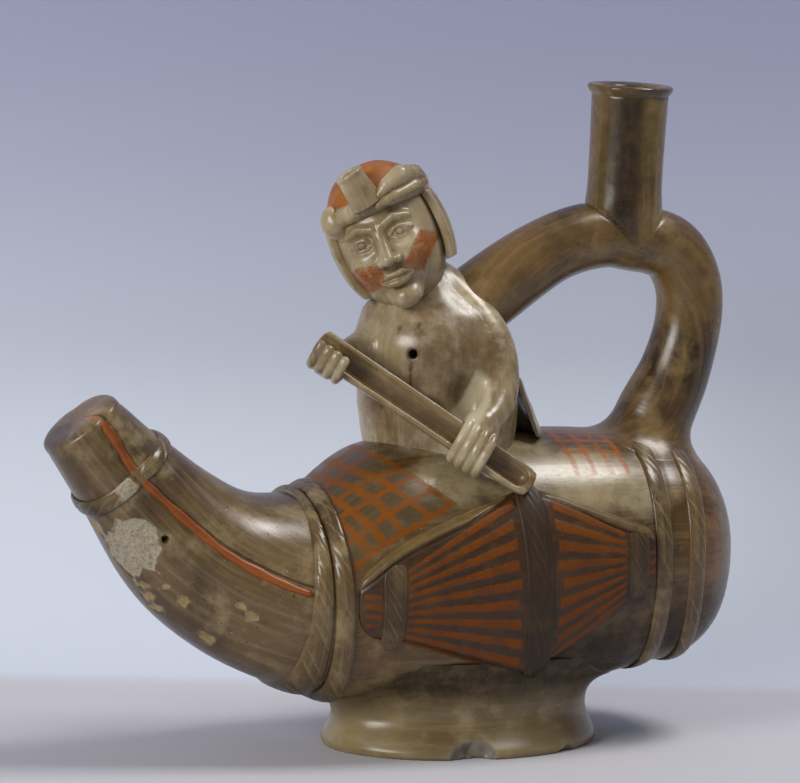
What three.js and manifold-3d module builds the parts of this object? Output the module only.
// A stirrup spout effigy vessel of burnished clay: a paddler on a reed boat that stands on a ring foot.
// Millimetres. +X runs to the stern, -Y to the port side, +Z up. The boat is one lofted surface, and every
// band, lashing and bundle on it is laid on that surface by station and angle.
import * as THREE from 'three';
import { mergeVertices } from 'three/addons/utils/BufferGeometryUtils.js';
import Module from 'manifold-3d';

const wasm = await Module();
wasm.setup();

// Clearance between pieces that touch, and the clay walls of the hollow pieces
const seat = 0.3;
const boatWall = 4.5;
const torsoWall = 4.0;

// Hull amidships, and where its other sections stand along the keel
const deckTop = 105;
const keelBottom = 18;
const hullBeam = 80;
const midshipAt = 4;
const foreDeckAt = -35;
const foreDeckTop = 102.2;
const foreDeckBeam = hullBeam - 3;
const aftDeckAt = 39;
const aftDeckKeel = 20.4;
const foreRopeAt = -59.5;
const foreRopeTop = 87;
const foreRopeKeel = 20.6;
const foreRopeBeam = hullBeam - 10;
const sternRopeAt = 63;
const sternRopeTop = 102.4;
const sternRopeKeel = 25.6;
const sternRopeBeam = hullBeam - 5;
const sternDome = 32;

// Prow horn: it bends up and forward from the fore ropes and ends in a blunt nose
const throatReach = 94;
const throatRise = 68.7;
const throatLean = 42;
const throatTall = 51.6;
const throatBeam = hullBeam - 26;
const neckReach = 120.5;
const neckRise = 95;
const neckLean = 49;
const neckTall = 35.2;
const neckBeam = 37;
const prowReach = 134.5;
const prowRise = 111;
const prowLean = 52;
const prowTall = 28.4;
const prowBeam = 29;
const prowNose = 8;
const valleyDepth = 1.2;
const valleyWidth = 11;
const beadRadius = 1.4;
const beadNoseAngle = 19;
const beadRopeAngle = 5;
const beadDip = 9;
const beadDipAt = 0.9;
const beadDipLength = 0.6;
const ventBore = 2;

// Twisted rope bands round the hull, and the worn one round the prow's neck
const ropeWidth = 7.2;
const ropeHeight = 2.4;
const ropeSpacing = 7.8;
const sternBandWidth = 6.4;
const sternBandHeight = 1.3;
const sternBandSpacing = 13;
const neckBandWidth = 6;
const neckBandHeight = 1.5;

// Reed bundle on each side, with its three lashings
const bundleGap = 0.6;
const bundleWidestAt = 9.5;
const bundleTopAngle = 40;
const bundleBottomAngle = -46;
const bundleForeAngle = -2.5;
const bundleForeHalfAngle = 15.5;
const bundleAftAngle = 4;
const bundleAftHalfAngle = 13;
const bundleForeRound = 3.2;
const bundleAftRound = 1.6;
const bundleThick = 4.2;
const bundleEndThick = 1.8;
const bundleLift = 0.7;
const lashingHeight = 1.1;
const midLashingWidth = 9.6;
const midLashingLean = 0.06;
const endLashingWidth = 6;
const foreLashingAt = -40;
const aftLashingAt = 47;

// Ring foot, an open oval ring
const footLength = 96.6;
const footWidth = 74.6;
const footWaistHeight = 12.5;
const footWaistInset = 3.2;
const footSideInset = 8.5;
const footWall = 6;
const footTop = 36;

// Paddler: the seat on the deck, the turn of the body and the body's half widths and height
const seatAt = -9.5;
const bodyTurn = 52;
const torsoHalfWidth = 27.5;
const torsoHalfDepth = 20.5;
const torsoHeight = 52;
const torsoSink = 16;
const chestHole = 3;
const armRadius = 7.8;
const wristRadius = 5.4;
const gripLeftAt = 60;
const gripRightAt = 5.5;
const gripLength = 15;
const fingerThick = 4.2;

// Head, leaned to the figure's right, with its cap, band and flaps
const headTurn = 60;
const headRoll = 24;
const headSide = -16.2;
const headForward = 6;
const headHeight = 66;
const headHalfWidth = 17.4;
const headHalfDepth = 17.4;
const headHalfHeight = 24;
const cheekFullness = 0.85;
const capHeight = 1.6;
const bandThick = 3.2;
const plumeRadius = 3.8;
const plumeLength = 13.5;
const plumeForward = 3;
const plumeAside = 2.6;
const flapThick = 2.6;

// Paddle, a split cane held across the body
const paddleTopSide = -30.7;
const paddleTopForward = 34.4;
const paddleTopHeight = 32.3;
const paddleEndSide = 38.2;
const paddleEndForward = 19.2;
const paddleEndHeight = -13.1;
const paddleRadius = 5.4;
const paddleEndRadius = 4.9;
const caneWall = 1.6;
const caneClosed = 5.6;
const caneRound = 3;

// Cape behind the body
const capeThick = 2.6;
const capeHeight = 24;
const capeFlare = 7;
const capeFrom = 215;
const capeTo = 350;

// Stirrup arms, spout and lip
const stirrupBore = 13.5;
const foreArmRadius = 12.2;
const aftArmRadius = 11.4;
const aftFootRadius = 14.6;
const crownAt = 60;
const crownHeight = 170;
const aftBulgeAt = 81.2;
const aftFootAt = 68.5;
const spoutLean = 2.4;
const spoutTop = 218.2;
const spoutOuter = 26;
const spoutFlare = 1.2;
const spoutWall = 3.6;
const lipOuter = 29;
const lipHeight = 3;

// Facets: how finely each kind of form is divided
const boatSides = 24;
const boreSides = 10;
const tubeSides = 14;
const smallSides = 6;
const hullSteps = 8;
const foreCrowding = 1.6;
const headSides = 28;
const headRows = 14;
const torsoSides = 20;
const footSides = 32;
const roundSides = 20;

const DEG = Math.PI / 180;
const farOut = 400;
const vec = (x, y, z) => new THREE.Vector3(x, y, z);
const lerp = THREE.MathUtils.lerp;
const smooth = THREE.MathUtils.smoothstep;

// Solids

// One closed solid from triangles, with its faces turned outwards.
function solidFrom(points, faces) {
  const geometry = new THREE.BufferGeometry().setFromPoints(points);
  geometry.setIndex(faces);
  const merged = mergeVertices(geometry, 1e-4);
  const index = merged.index.array;
  const kept = [];
  for (let i = 0; i < index.length; i += 3) {
    const [a, b, c] = [index[i], index[i + 1], index[i + 2]];
    if (a !== b && b !== c && c !== a) kept.push(a, b, c);
  }
  const vertProperties = merged.attributes.position.array;
  const build = (triVerts) =>
    new wasm.Manifold(new wasm.Mesh({ numProp: 3, vertProperties, triVerts: new Uint32Array(triVerts) }));
  const made = build(kept);
  return made.volume() > 0 ? made : build(kept.reverse());
}

// The body of a trimmed solid, without the slivers that a cut leaves beside it.
function mainBody(solid) {
  const bodies = solid.decompose();
  return bodies.reduce((best, body) => (body.volume() > best.volume() ? body : best));
}

// A solid through a row of closed rings that all have the same count of points, with flat ends.
function loft(rings) {
  const count = rings[0].length;
  const points = rings.flat();
  const faces = [];
  for (let i = 0; i + 1 < rings.length; i++) {
    for (let j = 0; j < count; j++) {
      const a = i * count + j;
      const b = i * count + ((j + 1) % count);
      faces.push(a, b, a + count, b, b + count, a + count);
    }
  }
  [0, rings.length - 1].forEach((end) => {
    const centre = rings[end].reduce((sum, p) => sum.add(p), vec(0, 0, 0)).divideScalar(count);
    points.push(centre);
    for (let j = 0; j < count; j++) {
      const a = end * count + j;
      const b = end * count + ((j + 1) % count);
      faces.push(...(end ? [a, b, points.length - 1] : [b, a, points.length - 1]));
    }
  });
  return solidFrom(points, faces);
}

// A solid through rings that close on themselves in both directions, such as a ring foot.
function hoop(rings) {
  const count = rings[0].length;
  const faces = [];
  rings.forEach((ring, i) => {
    for (let j = 0; j < count; j++) {
      const next = (i + 1) % rings.length;
      const side = (j + 1) % count;
      const [a, b, c, d] = [i * count + j, i * count + side, next * count + j, next * count + side];
      faces.push(a, b, c, b, d, c);
    }
  });
  return solidFrom(rings.flat(), faces);
}

// A closed slab laid on a surface: place(u, v, top) gives the point of its upper or lower face.
function slab(place, alongCount, acrossCount) {
  const ring = [];
  const rows = [];
  for (let i = 0; i <= alongCount; i++) {
    const row = [];
    for (let j = 0; j <= acrossCount; j++) row.push(place(i / alongCount, j / acrossCount, true));
    for (let j = acrossCount; j >= 0; j--) row.push(place(i / alongCount, j / acrossCount, false));
    rows.push(row);
  }
  const points = rows.flat();
  const count = rows[0].length;
  for (let i = 0; i < alongCount; i++) {
    for (let j = 0; j < count; j++) {
      const a = i * count + j;
      const b = i * count + ((j + 1) % count);
      ring.push(a, b, a + count, b, b + count, a + count);
    }
  }
  for (let j = 0; j < acrossCount; j++) {
    [0, alongCount].forEach((i) => {
      const top = i * count + j;
      const low = i * count + count - 1 - j;
      const quad = [top, top + 1, low, top + 1, low - 1, low];
      ring.push(...(i ? quad : quad.reverse()));
    });
  }
  return solidFrom(points, ring);
}

// A round tube along a curve, with a radius for each share of its length.
function sweep(curve, radiusAt, steps, sides) {
  const frames = curve.computeFrenetFrames(steps, false);
  const rings = [];
  for (let i = 0; i <= steps; i++) {
    const centre = curve.getPointAt(i / steps);
    const radius = radiusAt(i / steps);
    rings.push(
      Array.from({ length: sides }, (_, j) => {
        const turn = (2 * Math.PI * j) / sides;
        return centre
          .clone()
          .addScaledVector(frames.normals[i], radius * Math.cos(turn))
          .addScaledVector(frames.binormals[i], radius * Math.sin(turn));
      })
    );
  }
  return loft(rings);
}

// A solid from one of three's closed geometries, placed by a matrix.
function solidOf(geometry, matrix) {
  const plain = geometry.clone().applyMatrix4(matrix);
  plain.deleteAttribute('normal');
  plain.deleteAttribute('uv');
  const merged = mergeVertices(plain, 1e-4);
  const points = [];
  for (let i = 0; i < merged.attributes.position.count; i++) {
    points.push(vec(0, 0, 0).fromBufferAttribute(merged.attributes.position, i));
  }
  return solidFrom(points, Array.from(merged.index.array));
}

// A plain bore from one point to another.
function bore(from, to, diameter, sides) {
  const along = to.clone().sub(from);
  const length = along.length();
  const turn = new THREE.Quaternion().setFromUnitVectors(vec(0, 1, 0), along.normalize());
  const middle = from.clone().lerp(to, 0.5);
  const place = new THREE.Matrix4().compose(middle, turn, vec(1, 1, 1));
  return solidOf(new THREE.CylinderGeometry(diameter / 2, diameter / 2, length, sides), place);
}

// A block between two opposite corners, used to split shells.
function block(low, high) {
  const size = high.clone().sub(low);
  const middle = low.clone().lerp(high, 0.5);
  const place = new THREE.Matrix4().makeTranslation(middle.x, middle.y, middle.z);
  return solidOf(new THREE.BoxGeometry(size.x, size.y, size.z), place);
}

// Boat surface

const section = (at, top, keel, beam, square) => ({
  x: at, z: (top + keel) / 2, lean: 0, tall: (top - keel) / 2, wide: beam / 2, square,
});
const leaned = (reach, rise, lean, tall, beam, square) => ({
  x: -reach, z: rise, lean, tall: tall / 2, wide: beam / 2, square,
});
const fullSection = 2.2;
const roundSection = 2.1;
const sections = [
  leaned(prowReach, prowRise, prowLean, prowTall, prowBeam, fullSection),
  leaned(neckReach, neckRise, neckLean, neckTall, neckBeam, fullSection),
  leaned(throatReach, throatRise, throatLean, throatTall, throatBeam, roundSection),
  section(foreRopeAt, foreRopeTop, foreRopeKeel, foreRopeBeam, roundSection),
  section(foreDeckAt, foreDeckTop, keelBottom, foreDeckBeam, fullSection),
  section(midshipAt, deckTop, keelBottom, hullBeam, fullSection),
  section(aftDeckAt, deckTop, aftDeckKeel, hullBeam, fullSection),
  section(sternRopeAt, sternRopeTop, sternRopeKeel, sternRopeBeam, fullSection),
];
const lastStation = sections.length - 1;
const neckStation = 1;
const ropeStation = 3;
const bilgeFullness = 0.7;

// A smooth value through the sections at a station.
function faired(name, station) {
  const i = Math.min(Math.max(Math.floor(station), 0), lastStation - 1);
  const f = station - i;
  const p1 = sections[i][name];
  const p2 = sections[i + 1][name];
  const p0 = i > 0 ? sections[i - 1][name] : 2 * p1 - p2;
  const p3 = i + 2 <= lastStation ? sections[i + 2][name] : 2 * p2 - p1;
  const square = (2 * p0 - 5 * p1 + 4 * p2 - p3) * f * f;
  const cube = (3 * p1 - p0 - 3 * p2 + p3) * f * f * f;
  return (2 * p1 + (p2 - p0) * f + square + cube) / 2;
}

// The angle of the seam bead on the port side: high at the nose, and lower as it nears the fore ropes.
function beadAngle(station) {
  const dip = beadDip * Math.exp(-(((station - beadDipAt) / beadDipLength) ** 2));
  return lerp(beadNoseAngle, beadRopeAngle, smooth(station, -1, ropeStation)) - dip;
}

// A point of the boat. Station -1 is the nose and the last station plus one the stern; the angle is 0 to
// port, 90 at the deck and -90 at the keel; grow moves the point off the clay, or into it where negative.
function boatPoint(station, angle, grow) {
  const inside = Math.min(Math.max(station, 0), lastStation);
  const nose = Math.max(-station, 0);
  const dome = Math.max(station - lastStation, 0);
  const taper = nose > 0 ? 2.6 : 2.15;
  const shrink = Math.max(1 - Math.max(nose, dome) ** taper, 0) ** (1 / taper);
  const forward = nose * (prowNose + grow) - dome * (sternDome + grow);
  const lean = faired('lean', inside) * DEG;
  const c = Math.cos(angle * DEG);
  const s = Math.sin(angle * DEG);
  const square = faired('square', inside) + (s < 0 ? bilgeFullness * s * s * smooth(station, 2, 4) : 0);
  const radius = (Math.abs(c) ** square + Math.abs(s) ** square) ** (-1 / square);
  const near = (Math.abs(((angle + 450) % 360) - 180) - 90) * -1;
  const valley = Math.exp(-(((near - beadAngle(station)) / valleyWidth) ** 2));
  const sunk = grow - valleyDepth * valley * smooth(ropeStation - station, 0, 1.2);
  const side = -(faired('wide', inside) + sunk) * shrink * radius * c;
  const up = (faired('tall', inside) + sunk) * shrink * radius * s;
  return vec(
    faired('x', inside) - Math.cos(lean) * forward + up * Math.sin(lean),
    side,
    faired('z', inside) + Math.sin(lean) * forward + up * Math.cos(lean)
  );
}

// The station whose section stands at a place along the hull.
function stationAt(x) {
  let low = ropeStation;
  let high = lastStation;
  for (let i = 0; i < 30; i++) {
    const middle = (low + high) / 2;
    if (faired('x', middle) < x) low = middle;
    else high = middle;
  }
  const past = (x - sections[lastStation].x) / sternDome;
  const before = (x - foreRopeAt) / (foreRopeAt + throatReach);
  if (past > 0) return lastStation + past;
  return before < 0 ? ropeStation + before : low;
}

function boatRing(station, sides, grow) {
  return Array.from({ length: sides }, (_, j) => boatPoint(station, (360 * j) / sides, grow));
}

// Rings stand closer together at the fore end, where the deck dips into the prow.
function boatLoft(from, to, steps, sides, grow) {
  return loft(
    Array.from({ length: steps + 1 }, (_, i) =>
      boatRing(lerp(from, to, (i / steps) ** foreCrowding), sides, grow)
    )
  );
}

// Boat pieces

const ropeSteps = 4;
const noseStation = -0.999;
const sternStation = lastStation + 0.999;
const prowJoint = stationAt(foreRopeAt);
const foreRopes = [foreRopeAt - ropeSpacing / 2, foreRopeAt + ropeSpacing / 2];
const sternBands = [sternRopeAt - 0.4 * sternBandSpacing, sternRopeAt + 0.6 * sternBandSpacing];
const bundleFrom = foreRopes[1] + ropeWidth / 2 + bundleGap;
const bundleTo = sternBands[0] - sternBandWidth / 2 - bundleGap;
const sternJoint = stationAt(sternRopeAt - ropeWidth / 4);
const jointGap = seat / 30;

// The nose and dome close by rings that bunch up towards their ends.
function roundedStations(end, base, steps) {
  const turns = Array.from({ length: steps }, (_, i) => (Math.PI / 2) * (1 - i / steps));
  return turns.map((turn) => base + (end - base) * Math.sin(turn));
}

function prowSolid(grow, steps, sides, to) {
  const nose = roundedStations(noseStation, 0, 4);
  const rest = Array.from({ length: steps + 1 }, (_, i) => lerp(0, to, i / steps));
  return loft([...nose, ...rest].map((station) => boatRing(station, sides, grow)));
}

function sternSolid(grow, steps, sides, from) {
  const rest = Array.from({ length: 2 }, (_, i) => lerp(from, lastStation, i / 2));
  const dome = roundedStations(sternStation, lastStation, steps).reverse();
  return loft([...rest, lastStation, ...dome].map((station) => boatRing(station, sides, grow)));
}

const prowSteps = 9;
const sternSteps = 5;
const overlapIn = 0.08;
const boatClear = prowSolid(seat, prowSteps, boatSides, prowJoint)
  .add(boatLoft(prowJoint, sternJoint, hullSteps, boatSides, seat))
  .add(sternSolid(seat, sternSteps, boatSides, sternJoint));

function makeProw() {
  const outer = prowSolid(0, prowSteps, boatSides, prowJoint - jointGap);
  const inner = prowSolid(-boatWall, 5, boreSides, prowJoint + overlapIn);
  const vent = bore(boatPoint(1.5, -19, 4), boatPoint(1.5, -19, -2 * boatWall), ventBore, smallSides);
  return outer.subtract(inner).subtract(vent);
}

function hullShell() {
  const outer = boatLoft(prowJoint + jointGap, sternJoint - jointGap, hullSteps, boatSides, 0);
  const inner = boatLoft(prowJoint - overlapIn, sternJoint + overlapIn, 5, boreSides, -boatWall);
  return outer.subtract(inner);
}

function makeStern() {
  const outer = sternSolid(0, sternSteps, boatSides, sternJoint + jointGap);
  const inner = sternSolid(-boatWall, 4, boreSides, sternJoint - overlapIn);
  return outer.subtract(inner);
}

// A raised band round the hull: its cross-section is an arch that is flat on the clay.
function hullBand(at, width, height) {
  const half = width / 2;
  const foot = seat * 1.5;
  const arch = Array.from({ length: ropeSteps + 1 }, (_, i) => (Math.PI * i) / ropeSteps);
  const outline = arch.map((turn) => [-half * Math.cos(turn), foot + height * Math.sin(turn) ** 0.7]);
  outline.push([0, foot]);
  const station = stationAt(at);
  const perStation = (stationAt(at + half) - stationAt(at - half)) / width;
  const rings = Array.from({ length: boatSides }, (_, j) =>
    outline.map(([along, off]) => boatPoint(station + along * perStation, (360 * j) / boatSides, off))
  );
  return hoop(rings);
}

function neckBand() {
  const half = neckBandWidth / 2;
  const perStation = 1 / Math.hypot(neckReach - throatReach, neckRise - throatRise);
  const arch = Array.from({ length: 4 }, (_, i) => (Math.PI * i) / 3);
  const outline = arch.map((turn) => [-half * Math.cos(turn), seat + neckBandHeight * Math.sin(turn)]);
  const rings = Array.from({ length: boatSides }, (_, j) =>
    outline.map(([along, off]) =>
      boatPoint(neckStation + along * perStation, (360 * j) / boatSides, off + valleyDepth)
    )
  );
  return hoop(rings).subtract(boatClear).subtract(seamBead(1, seat)).subtract(seamBead(-1, seat));
}

// The bead lies in the valley between two bundles of reeds; side is 1 to port and -1 to starboard.
function seamBead(side, grow = 0) {
  const from = -0.75;
  const to = stationAt(foreRopes[0] - ropeWidth / 2) - 0.03;
  const step = 0.02;
  const place = (u, v, top) => {
    const station = lerp(from, to, u);
    const angle = beadAngle(station);
    const here = boatPoint(station, angle, 0);
    const alongStation = boatPoint(station + step, angle, 0).sub(here).divideScalar(step);
    const alongAngle = boatPoint(station, angle + 1, 0).sub(here);
    const ahead = boatPoint(station + step, beadAngle(station + step), 0).sub(here).normalize();
    const off = boatPoint(station, angle, 1).sub(here).normalize();
    const across = off.cross(ahead).multiplyScalar((v - 0.5) * 2 * (beadRadius + grow));
    const movedStation = station + across.dot(alongStation) / alongStation.lengthSq();
    const movedAngle = angle + across.dot(alongAngle) / alongAngle.lengthSq();
    const height = seat + (top ? 0.4 + grow + beadRadius * Math.sin(Math.PI * v) ** 0.7 : 0.1 - grow);
    return boatPoint(movedStation, side > 0 ? movedAngle : 180 - movedAngle, height);
  };
  const bead = slab(place, 20, 3);
  return grow > 0 ? bead : bead.subtract(boatClear);
}

// Side bundle: a spindle whose half height falls in straight lines from the middle to both ends.
function bundleEdge(x, top) {
  const fore = x < bundleWidestAt;
  const end = fore ? bundleFrom : bundleTo;
  const half = fore ? bundleForeHalfAngle : bundleAftHalfAngle;
  const endAngle = (fore ? bundleForeAngle : bundleAftAngle) + (top ? half : -half);
  const share = (x - bundleWidestAt) / (end - bundleWidestAt);
  return lerp(top ? bundleTopAngle : bundleBottomAngle, endAngle, share);
}

function bundleOff(x, v) {
  const length = x < bundleWidestAt ? bundleWidestAt - bundleFrom : bundleTo - bundleWidestAt;
  const share = Math.abs(x - bundleWidestAt) / length;
  const thick = lerp(bundleThick, bundleEndThick, share);
  return thick * (0.45 + 0.55 * Math.sin(Math.PI * v) ** 0.6);
}

function onSide(side, x, angle, off) {
  return boatPoint(stationAt(x), side > 0 ? angle : 180 - angle, off);
}

function sideBundle(side) {
  const place = (u, v, top) => {
    const inset = 1 - Math.sqrt(1 - Math.abs(2 * v - 1) ** 3);
    const x = lerp(bundleFrom + bundleForeRound * inset, bundleTo - bundleAftRound * inset, u);
    const angle = lerp(bundleEdge(x, false), bundleEdge(x, true), v);
    return onSide(side, x, angle, bundleLift + (top ? bundleOff(x, v) : 0));
  };
  return slab(place, 12, 8);
}

// A lashing goes over the bundle at one place; lean moves it along the hull for each degree up.
function lashing(side, at, width, lean) {
  const place = (u, v, top) => {
    const angle = lerp(bundleEdge(at, false), bundleEdge(at, true), v);
    const x = at + (u - 0.5) * width - lean * angle;
    const low = bundleEdge(x, false);
    const across = THREE.MathUtils.clamp((angle - low) / (bundleEdge(x, true) - low), 0, 1);
    const under = bundleLift + seat * 1.4 + bundleOff(x, across);
    const crown = 0.4 + 0.6 * Math.sin(Math.PI * u) ** 0.5;
    return onSide(side, x, angle, under + (top ? lashingHeight * crown : 0));
  };
  return slab(place, 3, 10);
}

// Ring foot

const footWaist = {
  z: footWaistHeight,
  x: footLength / 2 - footWaistInset,
  y: footWidth / 2 - footSideInset,
};

function makeFoot() {
  const rimX = footLength / 2;
  const rimY = footWidth / 2;
  const rimRound = 3;
  const flareTop = 3;
  const outline = [
    [rimX - 1.4, rimY - 1.4, 0],
    [rimX, rimY, rimRound],
    [lerp(rimX, footWaist.x, 0.55), lerp(rimY, footWaist.y, 0.5), footWaist.z * 0.5],
    [footWaist.x, footWaist.y, footWaist.z],
    [footWaist.x + flareTop / 3, footWaist.y + flareTop / 2, footWaist.z * 1.5],
    [footWaist.x + flareTop / 2, footWaist.y + flareTop, footTop],
    [footWaist.x - footWall, footWaist.y - footWall, footTop],
    [footWaist.x - footWall, footWaist.y - footWall, footWaist.z],
    [rimX - footWall - 1, rimY - footWall - 1, 0],
  ];
  const rings = Array.from({ length: footSides }, (_, j) => {
    const turn = (2 * Math.PI * j) / footSides;
    return outline.map(([x, y, z]) => vec(x * Math.cos(turn), y * Math.sin(turn), z));
  });
  return hoop(rings).subtract(boatClear);
}

// Paddler

const facing = vec(-Math.cos(bodyTurn * DEG), -Math.sin(bodyTurn * DEG), 0);
const leftward = vec(Math.sin(bodyTurn * DEG), -Math.cos(bodyTurn * DEG), 0);
const seatPoint = vec(seatAt, 0, deckTop);

// A point from the seat: to the figure's left, forward and up.
function body(left, forward, up) {
  const level = seatPoint.clone().addScaledVector(leftward, left).addScaledVector(facing, forward);
  return level.add(vec(0, 0, up));
}

// Half width share, half depth share and drift to the right at a share of the torso's height.
const torsoProfile = [
  { at: -torsoSink / torsoHeight, wide: 0.84, deep: 0.84 },
  { at: 0, wide: 0.96, deep: 0.94 },
  { at: 0.18, wide: 1, deep: 1 },
  { at: 0.42, wide: 0.98, deep: 0.96 },
  { at: 0.64, wide: 0.93, deep: 0.84 },
  { at: 0.8, wide: 0.77, deep: 0.7 },
  { at: 0.92, wide: 0.5, deep: 0.52 },
  { at: 1, wide: 0.36, deep: 0.42 },
];
const neckDrift = -8.5;

function torsoPoint(share, turn, grow) {
  const i = Math.max(torsoProfile.findIndex((row) => row.at >= share), 1);
  const [low, high] = [torsoProfile[i - 1], torsoProfile[i]];
  const f = (share - low.at) / (high.at - low.at);
  const wide = lerp(low.wide, high.wide, f) * torsoHalfWidth + grow;
  const deep = lerp(low.deep, high.deep, f) * torsoHalfDepth + grow;
  const drift = neckDrift * Math.max(share, 0) ** 2;
  return body(drift + wide * Math.cos(turn * DEG), deep * Math.sin(turn * DEG), share * torsoHeight);
}

function torsoLoft(shares, sides, grow, raise) {
  return loft(
    shares.map((share) =>
      Array.from({ length: sides }, (_, j) =>
        torsoPoint(share, (360 * j) / sides, grow).add(vec(0, 0, raise))
      )
    )
  );
}

const torsoShares = torsoProfile.map((row) => row.at);
const torsoClear = torsoLoft(torsoShares, torsoSides, seat, seat);

function makeTorso() {
  const outer = torsoLoft(torsoShares, torsoSides, 0, 0);
  const inner = torsoLoft(torsoShares.slice(0, 6), boreSides, -torsoWall, -1);
  const hole = bore(body(-3.3, 40, 29), body(-3.3, 0, 29), chestHole, smallSides);
  return outer.subtract(inner).subtract(hole).subtract(boatClear).subtract(foreBore());
}

// Head

const headFacing = vec(-Math.cos(headTurn * DEG), -Math.sin(headTurn * DEG), 0);
const headLeftLevel = vec(Math.sin(headTurn * DEG), -Math.cos(headTurn * DEG), 0);
const rollCos = Math.cos(headRoll * DEG);
const rollSin = Math.sin(headRoll * DEG);
const headUp = vec(0, 0, rollCos).addScaledVector(headLeftLevel, -rollSin);
const headLeft = headLeftLevel.clone().multiplyScalar(rollCos).add(vec(0, 0, rollSin));
const headCentre = body(headSide, headForward, headHeight);

function headFrame(left, forward, up) {
  return headCentre
    .clone()
    .addScaledVector(headLeft, left)
    .addScaledVector(headFacing, forward)
    .addScaledVector(headUp, up);
}

const bump = (value, at, wide) => Math.exp(-(((value - at) / wide) ** 2));

// A point of the head: turn 90 is the front, latitude runs from -90 at the chin's underside to 90.
function headPoint(latitude, turn, grow) {
  const c = Math.cos(latitude * DEG);
  const s = Math.sin(latitude * DEG);
  const front = Math.max(Math.sin(turn * DEG), 0);
  const jaw = s < 0 ? 1 - 0.06 * s * s * (1 - front) : 1;
  const aside = turn - 90;
  const nose = 3.6 * bump(aside, 0, 8) * smooth(latitude, -20, -12) * (1 - smooth(latitude, -10, 14));
  const eye = 1.3 * bump(Math.abs(aside), 27, 9) * bump(latitude, 9, 7);
  const mouth = 1.1 * bump(aside, 0, 20) * bump(latitude, -31, 6);
  const chin = 1.5 * bump(aside, 0, 20) * bump(latitude, -54, 12);
  const brow = 1 * bump(Math.abs(aside), 24, 16) * bump(latitude, 20, 4);
  const face = nose + eye + mouth + chin + brow;
  return headFrame(
    (headHalfWidth + grow) * c ** cheekFullness * Math.cos(turn * DEG) * jaw,
    (headHalfDepth + grow + face) * c ** cheekFullness * Math.sin(turn * DEG),
    (headHalfHeight + grow) * s
  );
}

function headRing(latitude, sides, grow) {
  return Array.from({ length: sides }, (_, j) => headPoint(latitude, (360 * j) / sides, grow));
}

function headSolid(grow) {
  return loft(
    Array.from({ length: headRows + 1 }, (_, i) =>
      headRing(lerp(-89.9, 89.9, i / headRows), headSides, grow)
    )
  );
}

const headClear = headSolid(seat);

const bandLow = 22;
const bandHigh = 40;
const bandMiddle = (bandLow + bandHigh) / 2;

const capSteps = 4;

function capDome(off) {
  return loft(
    Array.from({ length: capSteps + 1 }, (_, i) =>
      headRing(lerp(bandHigh + 1.5, 89.9, i / capSteps), headSides, off)
    )
  );
}

const capClear = capDome(capHeight + seat * 2);

function makeCap() {
  return capDome(capHeight + seat).subtract(headClear);
}

function makeHeadband() {
  const rings = Array.from({ length: headSides }, (_, j) => {
    const turn = (360 * j) / headSides;
    return [
      headPoint(bandLow, turn, seat * 1.6),
      headPoint(bandLow + 1, turn, seat + bandThick * 0.8),
      headPoint(bandMiddle, turn, seat + bandThick),
      headPoint(bandHigh - 1, turn, seat + bandThick * 0.8),
      headPoint(bandHigh, turn, seat * 1.6),
      headPoint(bandMiddle, turn, seat * 1.6),
    ];
  });
  return hoop(rings);
}

// A rounded lump with three half axes along the head's left, front and up.
function headLump(latitude, turn, off, axes) {
  const centre = headPoint(latitude, turn, off);
  const basis = new THREE.Matrix4().makeBasis(headLeft, headFacing, headUp);
  const lumpTurn = new THREE.Quaternion().setFromRotationMatrix(basis);
  const place = new THREE.Matrix4().compose(centre, lumpTurn, axes);
  return solidOf(new THREE.SphereGeometry(1, 10, 6), place);
}

const bandClear = loft(
  [bandLow - 5, bandLow + 1, bandMiddle, bandHigh - 1, bandHigh + 1].map((latitude) =>
    headRing(latitude, headSides, seat * 2 + bandThick)
  )
);

// The boss sits over the right temple, where the flap is cut back from it.
const bossAxes = vec(5.2, 4.8, 6.2);
const bossLump = (grow) => headLump(26, 139, 1.6, bossAxes.clone().addScalar(grow));

function makeBoss() {
  return bossLump(0).subtract(bandClear).subtract(headClear);
}

// The knot is a loop that lies along the band, creased across its middle.
function makeKnot() {
  const loopOf = (turn, long) => headLump(38, turn, 3.2, vec(long, 4.6, 4));
  return loopOf(64, 4.4)
    .add(loopOf(46, 6.2))
    .add(loopOf(25, 5))
    .subtract(bandClear)
    .subtract(headClear)
    .subtract(capClear)
    .subtract(plumeTube(seat));
}

const plumeFoot = headPoint(34, 87, 1.5);
const plumeTop = plumeFoot
  .clone()
  .addScaledVector(headUp, plumeLength)
  .addScaledVector(headFacing, plumeForward)
  .addScaledVector(headLeft, -plumeAside);

function plumeTube(grow) {
  const path = new THREE.LineCurve3(plumeFoot, plumeTop);
  return sweep(path, (u) => plumeRadius * lerp(1.06, 0.96, u) + grow, 1, 12);
}

function makePlume() {
  const slant = block(vec(-farOut, -farOut, plumeTop.z - 1), vec(farOut, farOut, plumeTop.z + 60));
  return plumeTube(0)
    .subtract(bandClear)
    .subtract(headClear)
    .subtract(capClear)
    .subtract(slant);
}

// A flap hangs from the band beside the face; side is 1 on the figure's left.
function makeFlap(side) {
  const front = side > 0 ? 22 : 148;
  const back = side > 0 ? -24 : 196;
  const hem = side > 0 ? -38 : -46;
  const spread = 1.4;
  const place = (u, v, top) => {
    const turn = lerp(front, back, u);
    const latitude = lerp(hem, bandLow - 2, v);
    return headPoint(latitude, turn, seat + spread * (1 - v) + (top ? flapThick : 0));
  };
  return slab(place, 4, 5).subtract(headClear);
}

// Arms and hands

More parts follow.
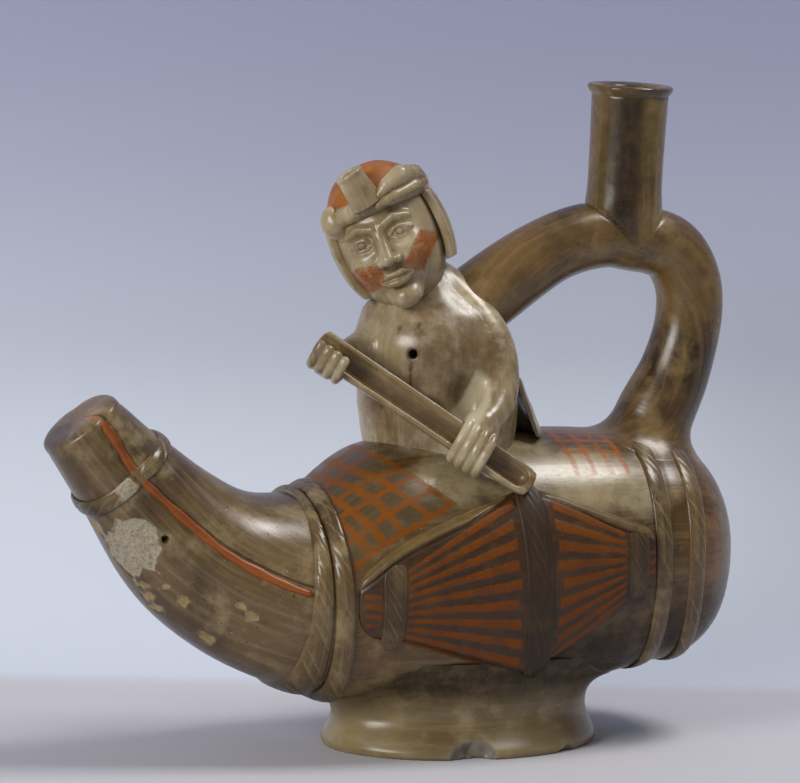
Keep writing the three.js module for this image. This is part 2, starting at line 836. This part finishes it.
const armPath = (knots) => new THREE.CatmullRomCurve3(knots.map(([a, b, c]) => body(a, b, c)));
const leftArmPath = armPath([
  [7, -4, 42],
  [16, 0, 39.5],
  [22.4, 1.5, 29],
  [24.2, 6, 18],
  [24, 14, 10.5],
  [21.5, 21, 6.5],
]);
const rightArmPath = armPath([
  [-15, -4, 37],
  [-19, 5, 31.5],
  [-24.5, 16, 27.5],
  [-29, 26, 27],
]);
const armTaper = (u) => lerp(armRadius, wristRadius, smooth(u, 0.2, 1)) * Math.sqrt(smooth(u, -0.1, 0.12));

function armSolid(path, grow) {
  return sweep(path, (u) => armTaper(u) + grow, 9, 10);
}

const paddleTop = body(paddleTopSide, paddleTopForward, paddleTopHeight);
const paddleEnd = body(paddleEndSide, paddleEndForward, paddleEndHeight);
const paddleAxis = paddleEnd.clone().sub(paddleTop).normalize();
const paddleOpen = vec(-0.32, -0.8, 0.5);
const paddleFace = paddleOpen.clone().addScaledVector(paddleAxis, -paddleOpen.dot(paddleAxis)).normalize();
const paddleSide = paddleAxis.clone().cross(paddleFace);

// A point by its distance along the paddle and its turn about it; turn 0 is the open face.
function aboutPaddle(along, turn, radius) {
  return paddleTop
    .clone()
    .addScaledVector(paddleAxis, along)
    .addScaledVector(paddleFace, radius * Math.cos(turn * DEG))
    .addScaledVector(paddleSide, radius * Math.sin(turn * DEG));
}

const paddleLength = paddleEnd.distanceTo(paddleTop);
const caneRadius = (along) => lerp(paddleRadius, paddleEndRadius, along / paddleLength);

// The cane is split down its length: a half tube that a rounded end closes.
function makePaddle() {
  const openTo = paddleLength - caneClosed;
  const shares = [0, 0.25, 0.5, 0.75, 1];
  const past = [0.15, 0.5, 0.75, 0.92, 1].map((share) => openTo + caneClosed * share);
  const rings = [...shares.map((share) => share * openTo), ...past].map((along) => {
    const tip = Math.max(along - paddleLength + caneRound, 0) / caneRound;
    const outer = caneRadius(along) * Math.sqrt(1 - 0.9 * tip * tip);
    const inner = Math.max(outer - caneWall, 0.5);
    const closed = along > openTo;
    const back = Array.from({ length: 9 }, (_, k) => aboutPaddle(along, 80 + 25 * k, outer));
    const hollow = Array.from({ length: 7 }, (_, k) => {
      const turn = 270 - 30 * k;
      const shut = aboutPaddle(along, turn > 180 ? 270 : 90, 0.01 + 0.02 * k);
      return closed ? shut : aboutPaddle(along, turn, inner);
    });
    return [...back, ...hollow];
  });
  return loft(rings).subtract(boatClear);
}

// A hand round the cane: four fingers side by side along it, over part of a turn.
function makeHand(grip, armClear) {
  const fingers = 4;
  const place = (u, v, top) => {
    const along = grip.at + (u - 0.5) * gripLength;
    const ridge = 0.7 + 0.3 * Math.abs(Math.sin(Math.PI * fingers * u)) ** 0.6;
    const ends = 0.55 + 0.45 * Math.sin(Math.PI * u) ** 0.5;
    const round = 0.5 + 0.5 * Math.sin(Math.PI * v) ** 0.5;
    const under = caneRadius(along) + seat * 2.5;
    const thick = top ? fingerThick * ridge * ends * round : 0;
    return aboutPaddle(along, lerp(grip.from, grip.to, v), under + thick);
  };
  return slab(place, 12, 5).subtract(armClear).subtract(torsoClear).subtract(boatClear);
}

const leftGrip = { at: gripLeftAt, from: -125, to: 100 };
const rightGrip = { at: gripRightAt, from: 20, to: 215 };
const leftArmClear = armSolid(leftArmPath, seat);
const rightArmClear = armSolid(rightArmPath, seat);
const paddleClear = sweep(
  new THREE.LineCurve3(paddleTop, paddleEnd),
  (u) => caneRadius(u * paddleLength) + seat * 2,
  1,
  12
);

function makeArm(path) {
  return armSolid(path, 0)
    .subtract(torsoClear)
    .subtract(boatClear)
    .subtract(paddleClear)
    .subtract(foreArmClear());
}

// Cape: a sheet on the back that stands away from the body towards its hem.
function makeCape() {
  const place = (u, v, top) => {
    const turn = lerp(capeFrom, capeTo, u);
    const share = (v * capeHeight) / torsoHeight;
    const off = seat + capeFlare * (1 - v) ** 1.6;
    return torsoPoint(share, turn, off + (top ? capeThick : 0));
  };
  return slab(place, 8, 3)
    .subtract(boatClear)
    .subtract(torsoClear)
    .subtract(leftArmClear)
    .subtract(foreArmClear());
}

// Stirrup and spout

const foreRoot = body(4, -8, 39);
const crown = vec(crownAt, 0, crownHeight);
const foreCurve = new THREE.CatmullRomCurve3([
  foreRoot,
  vec(19, 0, crownHeight - 10.4),
  vec(34, 0, crownHeight - 2.6),
  vec(48, 0, crownHeight + 0.6),
  crown,
]);
const aftCurve = new THREE.CatmullRomCurve3([
  crown,
  vec(aftBulgeAt - 7, 0, crownHeight - 5),
  vec(aftBulgeAt, 0, crownHeight - 16),
  vec(aftBulgeAt + 0.6, 0, crownHeight - 30),
  vec(aftBulgeAt - 3.4, 0, crownHeight - 47),
  vec(aftFootAt + 3, 0, deckTop + 3),
  vec(aftFootAt - 2, 0, deckTop - 13),
]);
const foreSteps = 9;
const aftSteps = 12;
const foreRadius = (u) => lerp(foreArmRadius + 0.6, aftArmRadius, smooth(u, 0, 0.5));
const aftRadius = (u) => lerp(aftArmRadius, aftFootRadius, smooth(u, 0.5, 1));
const foreBore = () => sweep(foreCurve, () => stirrupBore / 2, 7, boreSides);
const aftBore = () => sweep(aftCurve, () => stirrupBore / 2, 10, boreSides);

const spoutAxis = vec(Math.sin(spoutLean * DEG), 0, Math.cos(spoutLean * DEG));
const spoutFoot = vec(crownAt - 3.8, 0, crownHeight - 5);
const spoutLength = (spoutTop - spoutFoot.z) / spoutAxis.z;
const spoutPoint = (along) => spoutFoot.clone().addScaledVector(spoutAxis, along);

function spoutRadius(u) {
  return spoutOuter / 2 + spoutFlare * (1 - smooth(u, 0, 0.4)) - 0.4 * Math.sin(Math.PI * u);
}

function spoutSolid(grow) {
  const path = new THREE.LineCurve3(spoutPoint(-grow), spoutPoint(spoutLength));
  return sweep(path, (u) => spoutRadius(u) + grow, 4, roundSides);
}

const spoutClear = spoutSolid(seat);
const halfSpace = (sign) =>
  sign < 0
    ? block(vec(crownAt - seat / 2, -60, crownHeight - 60), vec(crownAt + 80, 60, crownHeight + 40))
    : block(vec(crownAt - 80, -60, crownHeight - 60), vec(crownAt + seat / 2, 60, crownHeight + 40));

function makeForeArm() {
  return sweep(foreCurve, foreRadius, foreSteps, tubeSides)
    .subtract(halfSpace(-1))
    .subtract(torsoClear)
    .subtract(spoutClear)
    .subtract(foreBore())
    .subtract(headClear);
}

function makeAftArm() {
  return sweep(aftCurve, aftRadius, aftSteps, tubeSides)
    .subtract(halfSpace(1))
    .subtract(boatClear)
    .subtract(spoutClear)
    .subtract(aftBore());
}

const foreArmClear = () => sweep(foreCurve, (u) => foreRadius(u) + seat, foreSteps, tubeSides);
const aftClear = () => sweep(aftCurve, (u) => aftRadius(u) + seat, aftSteps, tubeSides);

function makeSpout() {
  const spoutBore = bore(spoutPoint(4), spoutPoint(spoutLength + 5), spoutOuter - 2 * spoutWall, 16);
  return spoutSolid(0).subtract(spoutBore).subtract(foreBore()).subtract(aftBore());
}

// The lip is a thin everted ring on the spout's top.
function makeLip() {
  const inner = spoutOuter / 2 - spoutWall;
  const neck = spoutRadius(1);
  const outer = lipOuter / 2;
  const outline = [
    [inner, seat],
    [neck, seat],
    [outer - 0.3, lipHeight * 0.45],
    [outer, lipHeight * 0.8],
    [outer - 0.8, lipHeight],
    [inner + 1, lipHeight - 0.2],
    [inner, lipHeight * 0.6],
  ];
  const across = vec(spoutAxis.z, 0, -spoutAxis.x);
  const sides = 24;
  const rings = Array.from({ length: sides }, (_, j) => {
    const turn = (2 * Math.PI * j) / sides;
    return outline.map(([radius, up]) =>
      spoutPoint(spoutLength + up)
        .addScaledVector(across, radius * Math.cos(turn))
        .add(vec(0, radius * Math.sin(turn), 0))
    );
  });
  return hoop(rings);
}

// Finishes: colour, roughness and metalness of each slip

const finish = (color, roughness) => ({ color, roughness, metalness: 0 });
const creamSlip = finish(0xa99c80, 0.42);
const darkSlip = finish(0x5b4a36, 0.4);
const oliveSlip = finish(0x6e5a40, 0.38);
const prowSlip = finish(0x6b6052, 0.4);
const footSlip = finish(0x83705a, 0.5);
const redSlip = finish(0xb2552a, 0.5);
const stripeSlip = finish(0x8a5a36, 0.5);

const group = new THREE.Group();
const vessel = new THREE.Group();
group.add(vessel);

function place(name, solid, look) {
  const made = mainBody(solid).getMesh();
  const geometry = new THREE.BufferGeometry();
  geometry.setAttribute('position', new THREE.BufferAttribute(new Float32Array(made.vertProperties), 3));
  geometry.setIndex(new THREE.BufferAttribute(new Uint32Array(made.triVerts), 1));
  geometry.computeVertexNormals();
  const mesh = new THREE.Mesh(geometry, new THREE.MeshStandardMaterial(look));
  mesh.name = name;
  vessel.add(mesh);
}

const shell = hullShell();
const seamHeight = (deckTop + keelBottom) / 2 + 2;
const below = block(vec(-farOut, -farOut, -farOut), vec(farOut, farOut, seamHeight + seat / 2));
const above = block(vec(-farOut, -farOut, seamHeight - seat / 2), vec(farOut, farOut, farOut));
const torsoOpening = torsoLoft([torsoShares[0], 0.18], 14, -torsoWall, 0);

place('ring_foot', makeFoot(), footSlip);
place('hull_lower', shell.subtract(above), darkSlip);
place('hull_upper', shell.subtract(below).subtract(torsoOpening).subtract(aftBore()), darkSlip);
place('prow', makeProw(), prowSlip);
place('stern_cap', makeStern().subtract(aftBore()), oliveSlip);
['fore_rope_outer', 'fore_rope_inner'].forEach((name, i) => {
  place(name, hullBand(foreRopes[i], ropeWidth, ropeHeight), oliveSlip);
});
['stern_rope_inner', 'stern_rope_outer'].forEach((name, i) => {
  place(name, hullBand(sternBands[i], sternBandWidth, sternBandHeight).subtract(aftClear()), oliveSlip);
});
place('prow_neck_rope', neckBand(), oliveSlip);
[['port', 1], ['starboard', -1]].forEach(([name, side]) => {
  place(`${name}_seam_bead`, seamBead(side), redSlip);
  const midLashing = lashing(side, bundleWidestAt + 0.7, midLashingWidth, midLashingLean);
  place(`${name}_reed_bundle`, sideBundle(side).subtract(paddleClear), stripeSlip);
  place(`${name}_mid_lashing`, midLashing.subtract(paddleClear), darkSlip);
  place(`${name}_fore_lashing`, lashing(side, foreLashingAt, endLashingWidth, 0), oliveSlip);
  place(`${name}_aft_lashing`, lashing(side, aftLashingAt, endLashingWidth, 0), oliveSlip);
});

place('torso', makeTorso(), creamSlip);
place('head', headSolid(0).subtract(torsoClear), creamSlip);
place('cap', makeCap(), redSlip);
place('headband', makeHeadband(), creamSlip);
place('headband_boss', makeBoss(), creamSlip);
place('headband_knot', makeKnot(), creamSlip);
place('plume_holder', makePlume(), creamSlip);
place('left_head_flap', makeFlap(1).subtract(torsoClear), creamSlip);
const rightFlap = makeFlap(-1).subtract(torsoClear).subtract(bossLump(seat));
place('right_head_flap', rightFlap, creamSlip);
const leftArm = makeArm(leftArmPath);
const rightArm = makeArm(rightArmPath);
place('left_arm', leftArm, creamSlip);
place('right_arm', rightArm, creamSlip);
place('left_hand', makeHand(leftGrip, leftArmClear), creamSlip);
place('right_hand', makeHand(rightGrip, rightArmClear), creamSlip);
place('paddle', makePaddle(), oliveSlip);
place('cape', makeCape(), creamSlip);
place('stirrup_fore_arm', makeForeArm(), oliveSlip);
place('stirrup_aft_arm', makeAftArm(), oliveSlip);
place('spout', makeSpout(), oliveSlip);
place('spout_lip', makeLip(), oliveSlip);

// The origin is the middle of the vessel's box, on the ground.
const box = new THREE.Box3().setFromObject(vessel, true);
const middle = box.getCenter(vec(0, 0, 0));
vessel.position.set(-middle.x, -middle.y, -box.min.z);

export default group;
